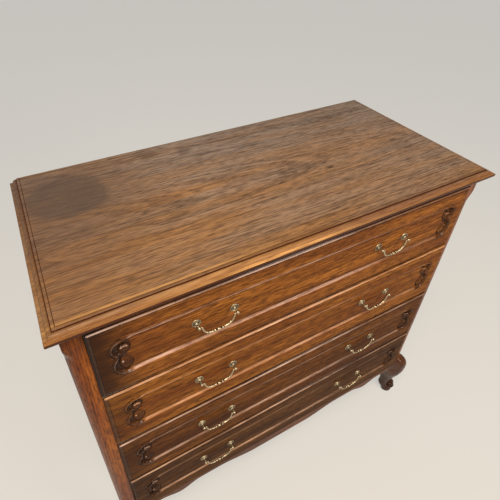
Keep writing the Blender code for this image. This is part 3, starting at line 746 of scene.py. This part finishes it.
# %% Relief of the carved scrolls
def relief(u, z):
    """Depth of the surface under the face plane, how dark it is with wax and painted shade, and how pale
    with painted highlights.
    """
    away, sunk = distance_to(field_outline, u, z), inside(field_outline, u, z)
    carved = ease(-np.minimum(*(from_middle(u, z, *bed) for bed in beds)), -1.06, -0.94)
    near_rim = ease(u, 0.388, 0.400)
    fall = mix(cove(away, field_cove), cove(away, gouge_width), near_rim)
    depth = np.where(sunk, mix(field_depth, carved_depth, carved) * fall, 0.0)
    rim_ridge = hump(away, rim_width)
    depth -= rim_height * near_rim * rim_ridge
    moat = hump(away - gouge_width, moat_width) * ~sunk * ease(u, 0.398, 0.408)
    depth += moat_depth * moat
    curl = hump(distance_to(upper_curl, u, z), curl_width)
    depth = raised(depth, curl, mix(carved_depth, curl_crown, np.sqrt(curl)))
    spreads = [from_middle(u, z, *dome[:2]) for dome in domes]
    for spread, (_, _, crown) in zip(spreads, domes):
        swell = hump(spread, 1)
        depth = raised(depth, swell, mix(carved_depth, crown, swell ** 0.42))
    veins = [distance_to(vein, u, z) for vein in dome_veins]
    for vein in veins:
        depth += vein_depth * hump(vein, vein_width)
    bead_glint = np.zeros(u.shape)
    for middle, radius in beads:
        bead = hump(from_middle(u, z, middle, (1, 1)), radius)
        depth = raised(depth, bead, bead_foot - bead_rise * np.sqrt(bead))
        bead_glint = np.maximum(bead_glint, ease(bead, 0.3, 0.9))
    string = hump(distance_to(bead_string, u, z), string_width)
    depth = raised(depth, string, bead_foot - string_rise * np.sqrt(string))
    bead_glint = np.maximum(bead_glint, 0.70 * ease(string, 0.3, 0.9))

    # Dark lines at the foot of the domes, of the rim and in the veins, where the wax collects and
    # shade is painted in; the moat outside the rim is painted dark as a shadow, and a line of
    # painted shade lies above the lower cove
    crease_wax_and_shade, on_dome = hump(away - 0.0043, 0.0012) * sunk * near_rim, np.zeros(u.shape)
    for spread in spreads:
        crease_wax_and_shade = np.maximum(crease_wax_and_shade, hump(spread - 1.02, 0.13))
        on_dome = np.maximum(on_dome, spread < 1)
    for vein in veins:
        crease_wax_and_shade = np.maximum(crease_wax_and_shade, 0.8 * np.clip(1 - vein / vein_width, 0, 1))
    zone = np.maximum(carved * sunk, near_rim * ease(rim_ridge, 0.0, 0.5) * ease(u, 0.395, 0.405))
    wax_and_shade = zone * (0.64 - 0.22 * on_dome + 0.36 * crease_wax_and_shade) * (1 - 0.9 * bead_glint)
    wax_and_shade = np.maximum(wax_and_shade, 0.90 * moat)
    straight = 1 - ease(u, 0.392, 0.404)
    shadow_line = hump(away - 0.0105, 0.0035) * sunk * (z < 0)
    wax_and_shade = np.maximum(wax_and_shade, 0.35 * shadow_line * straight)

    # Painted highlights: a line on the field's upper arris, a band in its lower cove and glints on
    # the beads, and around the carving the rim is painted bright only where it looks up
    upper_arris_highlight = ease(-away, -0.0026, -0.0008) * (z > 0)
    lower_cove_highlight = ease(-np.abs(away - 0.0036), -0.0042, -0.0022) * sunk * (z < 0)
    rubbed_and_highlight = np.maximum(0.80 * upper_arris_highlight, 0.62 * lower_cove_highlight) * straight
    looks_up = 0.2 + 0.8 * np.maximum(ease(z, 0.016, 0.034), ease(z, -0.030, -0.010) * (z < 0.003))
    rim_highlight = 0.42 * looks_up * near_rim * ease(rim_ridge, 0.70, 1.0) * (1 - straight)
    return depth, wax_and_shade, np.maximum(np.maximum(rubbed_and_highlight, rim_highlight), 0.9 * bead_glint)


crown = relief(*(np.array([place]) for place in domes[0][0]))[0]
print("crown of the upper dome", round(float(crown[0]) * 1000, 2), "mm under the face")

# %% [markdown]
# The grid is made with as many rows and columns as there are chosen places, and each point
# is then moved to its place and pushed back by its depth. The open edge is extruded three
# times, for the side of the lip, its back and the block that fills the opening.

# %% Grid of a front
def spaced(*runs):
    """Places along a line: each run is an end and the number of steps to it."""
    places = [0.0]
    for end, steps in runs:
        start = places[-1]
        places += [mix(start, end, i / steps) for i in range(1, steps + 1)]
    return places


def thumb_insets():
    """Insets of the thumbnail moulding, from its inner step to the edge."""
    turns = [math.pi / 2 * i / 8 for i in range(8, -1, -1)]
    return [thumb_width + 0.0002] + [thumb_width * (1 - math.cos(a)) for a in turns]


flat_end = thumb_width + 0.0012
half_columns = spaced((0.370, 30), (0.387, 12), (0.4335, 58), (face_half - flat_end, 4))
half_rows = spaced((0.0500, 62), (face_half_height - flat_end, 6))
half_columns += [face_half - inset for inset in thumb_insets()]
half_rows += [face_half_height - inset for inset in thumb_insets()]
columns, rows = ([-place for place in half[:0:-1]] + half for half in (half_columns, half_rows))
wide, tall = len(columns), len(rows)
grid_x, grid_z = np.meshgrid(columns, rows)
print("front grid", wide, "by", tall)

# %% Relief, painted shade and highlights of the lip
depths, darks_and_shade, rubs_and_highlights = relief(np.abs(grid_x), grid_z)
from_end, from_long_edge = face_half - np.abs(grid_x), face_half_height - np.abs(grid_z)
edge = np.minimum(from_end, from_long_edge)
turn = np.arccos(np.clip(1 - edge / thumb_width, 0, 1))
thumb_drop = lip_thickness - lip_edge
thumb = thumb_drop - (thumb_drop - thumb_quirk) * np.sin(turn)
depths = np.where(edge <= thumb_width + 1e-7, thumb, depths)
darks_and_shade = np.where(np.abs(edge - thumb_width) < 0.0003, 0.6, darks_and_shade)
is_upper = grid_z > face_half_height - thumb_width
is_end = from_end < from_long_edge
# The painted highlights fade to the right and are weaker behind the bails
towards_right = ease(grid_x, -0.05, 0.30)
behind_bail = bell(np.abs(grid_x), 0.24, 0.055)


def lip_shade_and_highlights(sheltered):
    """Painted shade and highlights of a front. The outer part of the lip is painted in shade, deepest under
    the top's overhang, where only the lip's inner half gets a painted highlight, and the side lips are
    painted darker.
    """
    outer, inner = (0.0044, 0.0058) if sheltered else (0.0030, 0.0044)
    thumb_highlight = ease(edge, outer, inner) * ease(-edge, -0.0088, -0.0072)
    rubbed_and_highlight = np.maximum(rubs_and_highlights, thumb_highlight * np.where(is_upper, 0.95, np.where(is_end, 0.04, 0.12)))
    dark = np.maximum(darks_and_shade, (0.85 if sheltered else 0.60) * ease(-edge, -inner, -outer * 0.7))
    dark = np.maximum(dark, 0.35 * is_end * (edge < thumb_width))
    rubbed_and_highlight = rubbed_and_highlight * (1 - 0.40 * behind_bail)
    return dark, rubbed_and_highlight * (1 - (0.75 if sheltered else 0.50) * towards_right)


print("darkest point of a front", round(float(lip_shade_and_highlights(False)[0].max()), 2))


# %% Make the fronts
def drawer_front(number):
    """A drawer front with its sunk field, scrolls and lip."""
    low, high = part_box(f"drawer_{number}_front")
    middle = (low.z + high.z) / 2
    shape = bmesh.new()
    bmesh.ops.create_grid(shape, x_segments=wide - 1, y_segments=tall - 1, size=1)
    dirt_and_painted_shade, rubbed_and_highlight = (shape.verts.layers.float.new(word) for word in ("dirt_and_painted_shade", "rubbed_and_highlight"))
    dark, pale = lip_shade_and_highlights(number == 1)
    for i, vert in enumerate(shape.verts):
        row, column = divmod(i, wide)
        vert.co = (columns[column], face_y + float(depths[row, column]), middle + rows[row])
        vert[dirt_and_painted_shade], vert[rubbed_and_highlight] = float(dark[row, column]), float(pale[row, column])
    block_x = face_half - block_side
    block_low, block_high = low.z + block_below, high.z - block_above
    border = [e for e in shape.edges if e.is_boundary]
    for y, inner in ((lip_back, False), (lip_back, True), (high.y, True)):
        border = open_edges(bmesh.ops.extrude_edge_only(shape, edges=border))
        for vert in {v for e in border for v in e.verts}:
            vert.co.y, vert[dirt_and_painted_shade], vert[rubbed_and_highlight] = y, 0.0, 0.0
            if inner:
                vert.co.x = max(-block_x, min(block_x, vert.co.x))
                vert.co.z = max(block_low, min(block_high, vert.co.z))
    bmesh.ops.contextual_create(shape, geom=border)
    return finish_piece(f"front_{number}", shape, front_oak[number], f"drawer_{number}",
                        [f"drawer_{number}_front"], 42)


fronts = [drawer_front(number) for number in drawers]
print("faces in one front", len(fronts[0].data.polygons))

# %% [markdown]
# ## Front posts and legs
# Each front post is one length of oak. Its outer corner has a wide chamfer that ends below
# the top in a curved stop, and its foot is carved into a knee, a slim ankle and a scroll. The
# post is built up from outlines, one above the other. Each is a ring of edges, every ring is
# bridged to the next, and the two ends are closed.

# %% Sizes of the post
post_width = 0.045
chamfer_width, chamfer_crown, eased_edge = 0.015, 0.0015, 0.0015
chamfer_start, chamfer_stop = 0.039, 0.038
leg_height, leg_side = 0.219, 0.755
side_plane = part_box("side_panel_right")[1].x
post_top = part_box("front_post_right")[1].z
arc_steps = 12
knee_angles = [78 - 156 * i / arc_steps for i in range(arc_steps + 1)]
ankle_angles = [44 - 88 * i / arc_steps for i in range(arc_steps + 1)]
back_corner_angles = (-88, -106, -128, -154, 180, 154, 128, 106, 88)
# Height in millimetres, then centre, reach and cross reach in post widths, and how square the back is
leg_rows = (
    (0, 0.55, 0.38, 0.29, 0.00), (9, 0.54, 0.42, 0.31, 0.00), (17, 0.46, 0.42, 0.30, 0.00),
    (27, 0.30, 0.42, 0.29, 0.00), (40, 0.22, 0.42, 0.29, 0.00), (55, 0.24, 0.42, 0.30, 0.00),
    (68, 0.27, 0.46, 0.33, 0.00), (76, 0.29, 0.49, 0.35, 0.00), (84, 0.31, 0.51, 0.37, 0.00),
    (93, 0.34, 0.54, 0.41, 0.00), (105, 0.39, 0.61, 0.46, 0.05), (118, 0.44, 0.68, 0.50, 0.20),
    (131, 0.49, 0.73, 0.505, 0.45), (143, 0.54, 0.738, 0.505, 0.70), (155, 0.600, 0.700, 0.490, 1.00),
    (166, 0.645, 0.662, 0.488, 1.00), (175, 0.683, 0.612, 0.483, 1.00), (184, 0.71, 0.545, 0.48, 1.00),
    (192, 0.685, 0.475, 0.46, 1.00), (198, 0.62, 0.405, 0.44, 1.00), (203, 0.53, 0.33, 0.41, 1.00),
    (207, 0.46, 0.24, 0.36, 1.00), (211, 0.43, 0.13, 0.29, 1.00), (215, 0.44, 0.08, 0.245, 1.00),
)
print("rows of the leg", len(leg_rows))


# %% Outlines of the post
def from_diagonal(along, across):
    """A point of the post's section, from its places along and across the diagonal."""
    return tuple(side / math.sqrt(2) - post_width / 2 for side in (along - across, along + across))


def diagonal_point(centre, reach, cross, angle):
    """A point on an ellipse whose long axis lies on the post's diagonal."""
    turn = math.radians(angle)
    return from_diagonal(centre + reach * math.cos(turn), cross * math.sin(turn))


def square_corners():
    """The three plain corners of the post, each eased with three points."""
    w, e, m = post_width, eased_edge, eased_edge * (1 - 1 / math.sqrt(2))
    return [(0, -w + e), (-m, -w + m), (-e, -w), (-w + e, -w), (-w + m, -w + m), (-w, -w + e),
            (-w, -e), (-w + m, -m), (-w + e, 0)]


def post_outline(chamfer):
    """The post, with its outer corner cut back and a little crowned."""
    crown, count = chamfer_crown * chamfer / chamfer_width, arc_steps + 2
    points = [(-chamfer, 0)]
    for i in range(1, count):
        share = i / count
        lift = crown * math.sin(math.pi * share)
        points.append((-chamfer * (1 - share) + lift, -chamfer * share + lift))
    return points + [(0, -chamfer)] + square_corners()


def leg_outline(centre, reach, cross, square):
    """The leg: the knee's arc in front, and behind it the post or a round."""
    centre, reach, cross = centre * post_width, reach * post_width, cross * post_width
    # The arc ends on the sides of the post, a touch further forward where the back is square
    base = leg_side * post_width * (1 - 0.2 * max(0.0, square - 0.99))
    arc = [diagonal_point(centre, reach, cross, mix(low, high, square))
           for low, high in zip(ankle_angles, knee_angles)]
    rest = []
    for point, angle in zip([(-base, 0), (0, -base)] + square_corners(), (66, -66) + back_corner_angles):
        rounded = diagonal_point(centre, reach, cross, angle)
        rest.append(tuple(mix(r, p, square) for r, p in zip(rounded, point)))
    return rest[:1] + arc + rest[1:]


def post_levels():
    """Heights and outlines from the floor to the top."""
    rows = curve_through(leg_rows, steps=4)
    levels = []
    for height, centre, reach, cross, square in rows:
        levels.append((height / 1000, leg_outline(centre, reach, cross, min(max(square, 0.0), 1.0))))
    levels.append((leg_height, post_outline(chamfer_width)))
    stop_low = post_top - chamfer_start - chamfer_stop
    levels += [(mix(leg_height, stop_low, s), post_outline(chamfer_width)) for s in (0.02, 0.98)]
    for i in range(13):
        share = i / 12
        chamfer = mix(chamfer_width, eased_edge, ease(share, 0, 1))
        levels.append((stop_low + chamfer_stop * share, post_outline(chamfer)))
    levels.append((post_top, post_outline(eased_edge)))
    return levels


levels = post_levels()
print("post outlines", len(levels), "points in each", len(levels[0][1]))


# %% [markdown]
# The foot is a scroll: the leg's back line runs down the heel, under the foot and up over
# the toe, and curls into an eye. The scroll is a strip swept along a spiral on the post's
# diagonal, a little wider than the core of the foot, and a small ball makes the eye.

# %% Scroll feet
scroll_centre = (0.0310, 0.0375)
# At the heel, and then in the eye of the scroll
scroll_turn, scroll_radius = (140, 800), (0.0192, 0.0052)
scroll_thickness, scroll_half_width = (0.0030, 0.0014), (0.0135, 0.0120)
core_radius, core_width, eye_radius, eye_side = 0.0155, 0.0190, 0.0046, 0.0112
foot_dark, knee_dark = 0.88, 0.75


def skin(shape, rings):
    """Draws each outline as a ring of edges, bridges every ring to the next and closes the ends."""
    loops = []
    for ring in rings:
        verts = [shape.verts.new(p) for p in ring]
        loops.append([shape.edges.new((a, b)) for a, b in zip(verts, verts[1:] + verts[:1])])
    for lower, upper in zip(loops, loops[1:]):
        bmesh.ops.bridge_loops(shape, edges=lower + upper)
    for loop in (loops[0], loops[-1]):
        bmesh.ops.contextual_create(shape, geom=loop)


def foot_point(side, along, across, height):
    """A point on the foot: along the post's diagonal, across it, and up."""
    u, v = from_diagonal(along, across)
    return (side * (side_plane + u), frame_y - v, height)


def scroll_strip(shape, side):
    """The strip of the foot scroll, as a rounded bar on a spiral."""
    steps, corners = 60, 12
    rings = []
    for i in range(steps + 1):
        share = i / steps
        angle = math.radians(mix(*scroll_turn, share))
        radius = mix(*scroll_radius, share ** 0.85)
        thick = mix(*scroll_thickness, share)
        half = mix(*scroll_half_width, share) * (0.85 + 0.15 * ease(share * 6, 0, 1))
        ring = []
        for k in range(corners):
            turn = 2 * math.pi * k / corners
            out, across = (math.copysign(abs(c) ** 0.6, c) for c in (math.cos(turn), math.sin(turn)))
            r = radius - thick + thick * out
            ring.append(foot_point(side, scroll_centre[0] + r * math.cos(angle), half * across,
                                   scroll_centre[1] + r * math.sin(angle)))
        rings.append(ring)
    skin(shape, rings)


print("turns of the scroll", round((scroll_turn[1] - scroll_turn[0]) / 360, 2))


# %% Front posts
def leg_shade(p):
    """The leg is darker than the post, and darkest at the foot."""
    return mix(foot_dark, knee_dark, ease(p.z, 0.06, 0.14)) * (1 - ease(p.z, 0.205, 0.240))


def front_post(side, word):
    """Front post with its chamfer, knee and scroll foot."""
    shape = bmesh.new()
    skin(shape, [[(side * (side_plane + u), frame_y - v, height) for u, v in outline]
                 for height, outline in levels])
    scroll_strip(shape, side)
    across = Vector(foot_point(side, 0, 1, 0)) - Vector(foot_point(side, 0, 0, 0))
    middle = Vector(foot_point(side, scroll_centre[0], 0, scroll_centre[1]))
    lie = across.to_track_quat("Z", "X").to_matrix().to_4x4()
    bmesh.ops.create_cone(shape, cap_ends=True, segments=32, radius1=core_radius, radius2=core_radius,
                          depth=core_width, matrix=Matrix.Translation(middle) @ lie)
    for end in (-1, 1):
        bmesh.ops.create_uvsphere(shape, u_segments=20, v_segments=12, radius=eye_radius,
                                  matrix=Matrix.Translation(middle + across * end * eye_side))
    mark_points(shape, "dirt_and_painted_shade", leg_shade)
    return finish_piece(f"post_{word}", shape, upright_oak, "carcass",
                        [f"front_post_{word}"], 50)


for side, word in sides:
    post = front_post(side, word)
    print(post.name, [round(v, 4) for v in post.dimensions])

# %% [markdown]
# ## Apron
# A shaped board closes the gap under the lowest drawer. Its lower edge was sawn to a row of
# soft cusps and its front corner eased. The outline is one face, extruded to the thickness
# of the board, and a Bevel modifier eases the edges.

# %% Apron
low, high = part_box("apron")
half = high.x
# Place as a share of the half width, and how far the edge comes down there
cusps = ((0.000, 1.00), (0.200, 1.00), (0.480, 0.00), (0.620, 0.00), (0.748, 0.90), (0.875, 0.05),
         (1.000, 0.15))
apron_rise, apron_drop, steps = 0.158, 0.020, 14
right = []
for (place, drop), (next_place, next_drop) in zip(cusps, cusps[1:]):
    for i in range(steps):
        share = i / steps
        down = mix(drop, next_drop, ease(share, 0, 1))
        right.append((half * mix(place, next_place, share), apron_rise - apron_drop * down))
right.append((half, apron_rise - apron_drop * cusps[-1][1]))
left = [(-x, z) for x, z in reversed(right[1:])]
shape = bmesh.new()
outline = left + right + [(half, high.z), (-half, high.z)]
face = shape.faces.new([shape.verts.new((x, low.y, z)) for x, z in outline])
grown = bmesh.ops.extrude_face_region(shape, geom=[face])
bmesh.ops.translate(shape, vec=(0, high.y - low.y, 0),
                    verts=[g for g in grown["geom"] if isinstance(g, bmesh.types.BMVert)])
apron = finish_piece("apron_board", shape, across_oak, "carcass", ["apron"], 40, 0.0012)
print("apron", [round(v, 4) for v in apron.dimensions])

# %% [markdown]
# ## Handles
# Each handle is a cast bail that hangs from two turned posts. A post has a round plate with
# turned rings, a neck and a ball head, and a nut holds it behind the drawer front. Turned
# parts are made as on a lathe: half of the outline is drawn once and spun round its axis.

# %% Sizes of a handle
post_sides = 28
# A handle's middle from the middle of the chest, and its two posts from each other
handle_spread, handle_centres = 0.2295, 0.082
plate_thickness, post_radius, ball_radius = 0.003, 0.0020, 0.00385
block_back = frame_y + 0.014
nut_radius, nut_height, nut_gap, thread_end, thread_sides = 0.0042, 0.0025, 0.0003, 0.0015, 14
field_y = face_y + field_depth
plate_back = field_y - joint_gap
pivot_y = plate_back - plate_thickness - 0.011


def pivot_height(number):
    """Height of the hinge line of a drawer's bails."""
    low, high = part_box(f"drawer_{number}_handle_post_1")
    return (low.z + high.z) / 2


# Radius, and how far it is from the plate's back, up to the ball
post_profile = (
    (0.0000, 0.0000), (0.0100, 0.0000), (0.0100, 0.0010), (0.0096, 0.0017), (0.0088, 0.0020),
    (0.0080, 0.0016), (0.0075, 0.0010), (0.0070, 0.0016), (0.0062, 0.0024), (0.0053, 0.0020),
    (0.0048, 0.0013), (0.0043, 0.0020), (0.0036, 0.0033), (0.0026, 0.0042), (0.0019, 0.0056),
    (0.0018, 0.0080), (0.0022, 0.0092), (0.0026, 0.0097), (0.0022, 0.0102),
)
hollow_radii = ((0.0080, 0.0070), (0.0053, 0.0043))
print("hinge lines at", [round(pivot_height(number), 4) for number in drawers])


# %% Handle posts
def turned(shape, profile, centre, steps):
    """Spins a profile of (radius, Y) once round an axis along Y."""
    verts = [shape.verts.new((centre[0] + radius, y, centre[1])) for radius, y in profile]
    edges = [shape.edges.new(pair) for pair in zip(verts, verts[1:])]
    bmesh.ops.spin(shape, geom=verts + edges, cent=(centre[0], 0, centre[1]), axis=(0, 1, 0),
                   dvec=(0, 0, 0), angle=2 * math.pi, steps=steps, use_merge=True)


def handle_post(number, index, x):
    """Plate, neck, ball head, shank and nut of one handle post."""
    z = pivot_height(number)
    shape = bmesh.new()
    neck = math.asin(post_profile[-1][0] / ball_radius)
    turns = [mix(neck, math.pi, i / 12) for i in range(1, 13)]
    ball = [(ball_radius * math.sin(a), pivot_y + ball_radius * math.cos(a)) for a in turns]
    turned(shape, [(radius, plate_back - out) for radius, out in post_profile] + ball, (x, z), post_sides)
    shank_start, shank_end = plate_back - 0.0002, block_back + 0.0043
    shank = [(0.0, shank_start), (post_radius, shank_start), (post_radius, shank_end - 0.0004),
             (thread_end, shank_end), (0.0, shank_end)]
    turned(shape, shank, (x, z), thread_sides)
    nut_place = Matrix.Translation((x, block_back + nut_gap + nut_height / 2, z))
    bmesh.ops.create_cone(shape, cap_ends=True, segments=6, radius1=nut_radius, radius2=nut_radius,
                          depth=nut_height, matrix=nut_place @ Matrix.Rotation(math.pi / 2, 4, "X"))

    def hollow_at(p):
        away, out = math.hypot(p.x - x, p.z - z), plate_back - p.y
        if out > 0.0085:
            return 0.15
        if out > 0.0045:
            return 0.55
        return 0.95 if any(inner < away < outer for outer, inner in hollow_radii) else 0.25

    mark_points(shape, "dirt_and_painted_shade", hollow_at)
    return finish_piece(f"handle_post_{number}_{index}", shape, brass, f"drawer_{number}",
                        [f"drawer_{number}_handle_post_{index}"], 45)


for number in drawers:
    places = [side * handle_spread + end * handle_centres / 2 for side in (-1, 1) for end in (-1, 1)]
    for index, x in enumerate(places, 1):
        handle_post(number, index, x)
print("handle posts at", [round(p, 4) for p in places])

# %% [markdown]
# The bail is a bent bar: from a pin in the ball it runs down the swan neck, swells along the
# bottom and meets two collars with a knop between them. A ring is drawn at each point of its
# path, square to it and as wide as the bar is there, and the rings are bridged like those of
# the post.

# %% Bails
bail_drop, bail_sides = 0.0250, 14
# Points of one half: place along the bail, height, and radius of the bar
half = handle_centres / 2
neck_path = curve_through((
    (half - ball_radius + 0.0030, 0.0, 0.0012), (half - ball_radius - 0.0012, 0.0, 0.0012),
    (half - ball_radius - 0.0021, -0.0006, 0.0017), (0.0346, -0.0032, 0.0020), (0.0330, -0.0080, 0.0020),
    (0.0314, -0.0125, 0.0020), (0.0292, -0.0166, 0.0020), (0.0270, -0.0192, 0.0021),
    (0.0260, -0.0201, 0.0024), (0.0251, -0.0208, 0.0026), (0.0242, -0.0214, 0.0024),
    (0.0232, -0.0220, 0.0021), (0.0196, -0.0236, 0.0022), (0.0160, -0.0246, 0.0022),
    (0.0125, -bail_drop, 0.0020)), steps=4)
collar_and_knop = (
    (0.0118, 0.0018), (0.0110, 0.0019), (0.0098, 0.0024), (0.0084, 0.0031), (0.0076, 0.0032),
    (0.0069, 0.0026), (0.0064, 0.0016), (0.0050, 0.0014), (0.0038, 0.0016), (0.0033, 0.0024),
    (0.0024, 0.0031), (0.0009, 0.00335))
middle_path = [(x, -bail_drop, radius) for x, radius in collar_and_knop]


def bail(number, side, word):
    """A swan-neck bail with a knop between two collars."""
    centre = Vector((side * handle_spread, pivot_y, pivot_height(number)))
    half_path = neck_path + middle_path
    path = [(-x, z, r) for x, z, r in half_path] + half_path[::-1]
    rings = []
    for i, (x, z, radius) in enumerate(path):
        before, after = path[max(i - 1, 0)], path[min(i + 1, len(path) - 1)]
        turn = math.atan2(after[1] - before[1], after[0] - before[0])
        ring = []
        for k in range(bail_sides):
            angle = 2 * math.pi * k / bail_sides
            up, forward = radius * math.cos(angle), radius * math.sin(angle)
            ring.append(tuple(centre + Vector((x - up * math.sin(turn), forward, z + up * math.cos(turn)))))
        rings.append(ring)
    shape = bmesh.new()
    skin(shape, rings)

    def hollow_at(p):
        along = abs(p.x - centre.x)
        in_groove = 0.0036 < along < 0.0066 or 0.0105 < along < 0.0122
        return 0.95 if in_groove and p.z < centre.z - 0.02 else 0.0

    mark_points(shape, "dirt_and_painted_shade", hollow_at)
    name = f"drawer_{number}_bail_{word}"
    return finish_piece(f"bail_{number}_{word}", shape, brass, name, [name], 50)


for number in drawers:
    for side, word in sides:
        hung = bail(number, side, word)
print("bail", [round(v, 4) for v in hung.dimensions])

# %% [markdown]
# ## Boards that keep their shape
# Sides, rear posts, back, rails, dust boards and drawer boxes are plain boards, and the CAD
# solids are right as they are. They keep their mesh and get the finish whose grain runs along
# them.

# %% Finish the boards
board_finishes = {
    "rear_post_left": upright_oak, "rear_post_right": upright_oak, "side_panel_left": upright_oak,
    "side_panel_right": upright_oak, "front_top_rail": across_oak, "dust_board_1": across_oak,
    "dust_board_2": across_oak, "dust_board_3": across_oak, "bottom_board": bare_oak["across"],
    "back_panel": bare_oak["upright"], "kicker_left": bare_oak["deep"], "kicker_right": bare_oak["deep"],
}
for number in drawers:
    for part, way in (("side_left", "deep"), ("side_right", "deep"), ("back", "across"),
                      ("bottom", "across")):
        board_finishes[f"drawer_{number}_{part}"] = bare_oak[way]
for name, oak in board_finishes.items():
    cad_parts[name].material_slots[0].material = oak
print("boards finished", len(board_finishes))
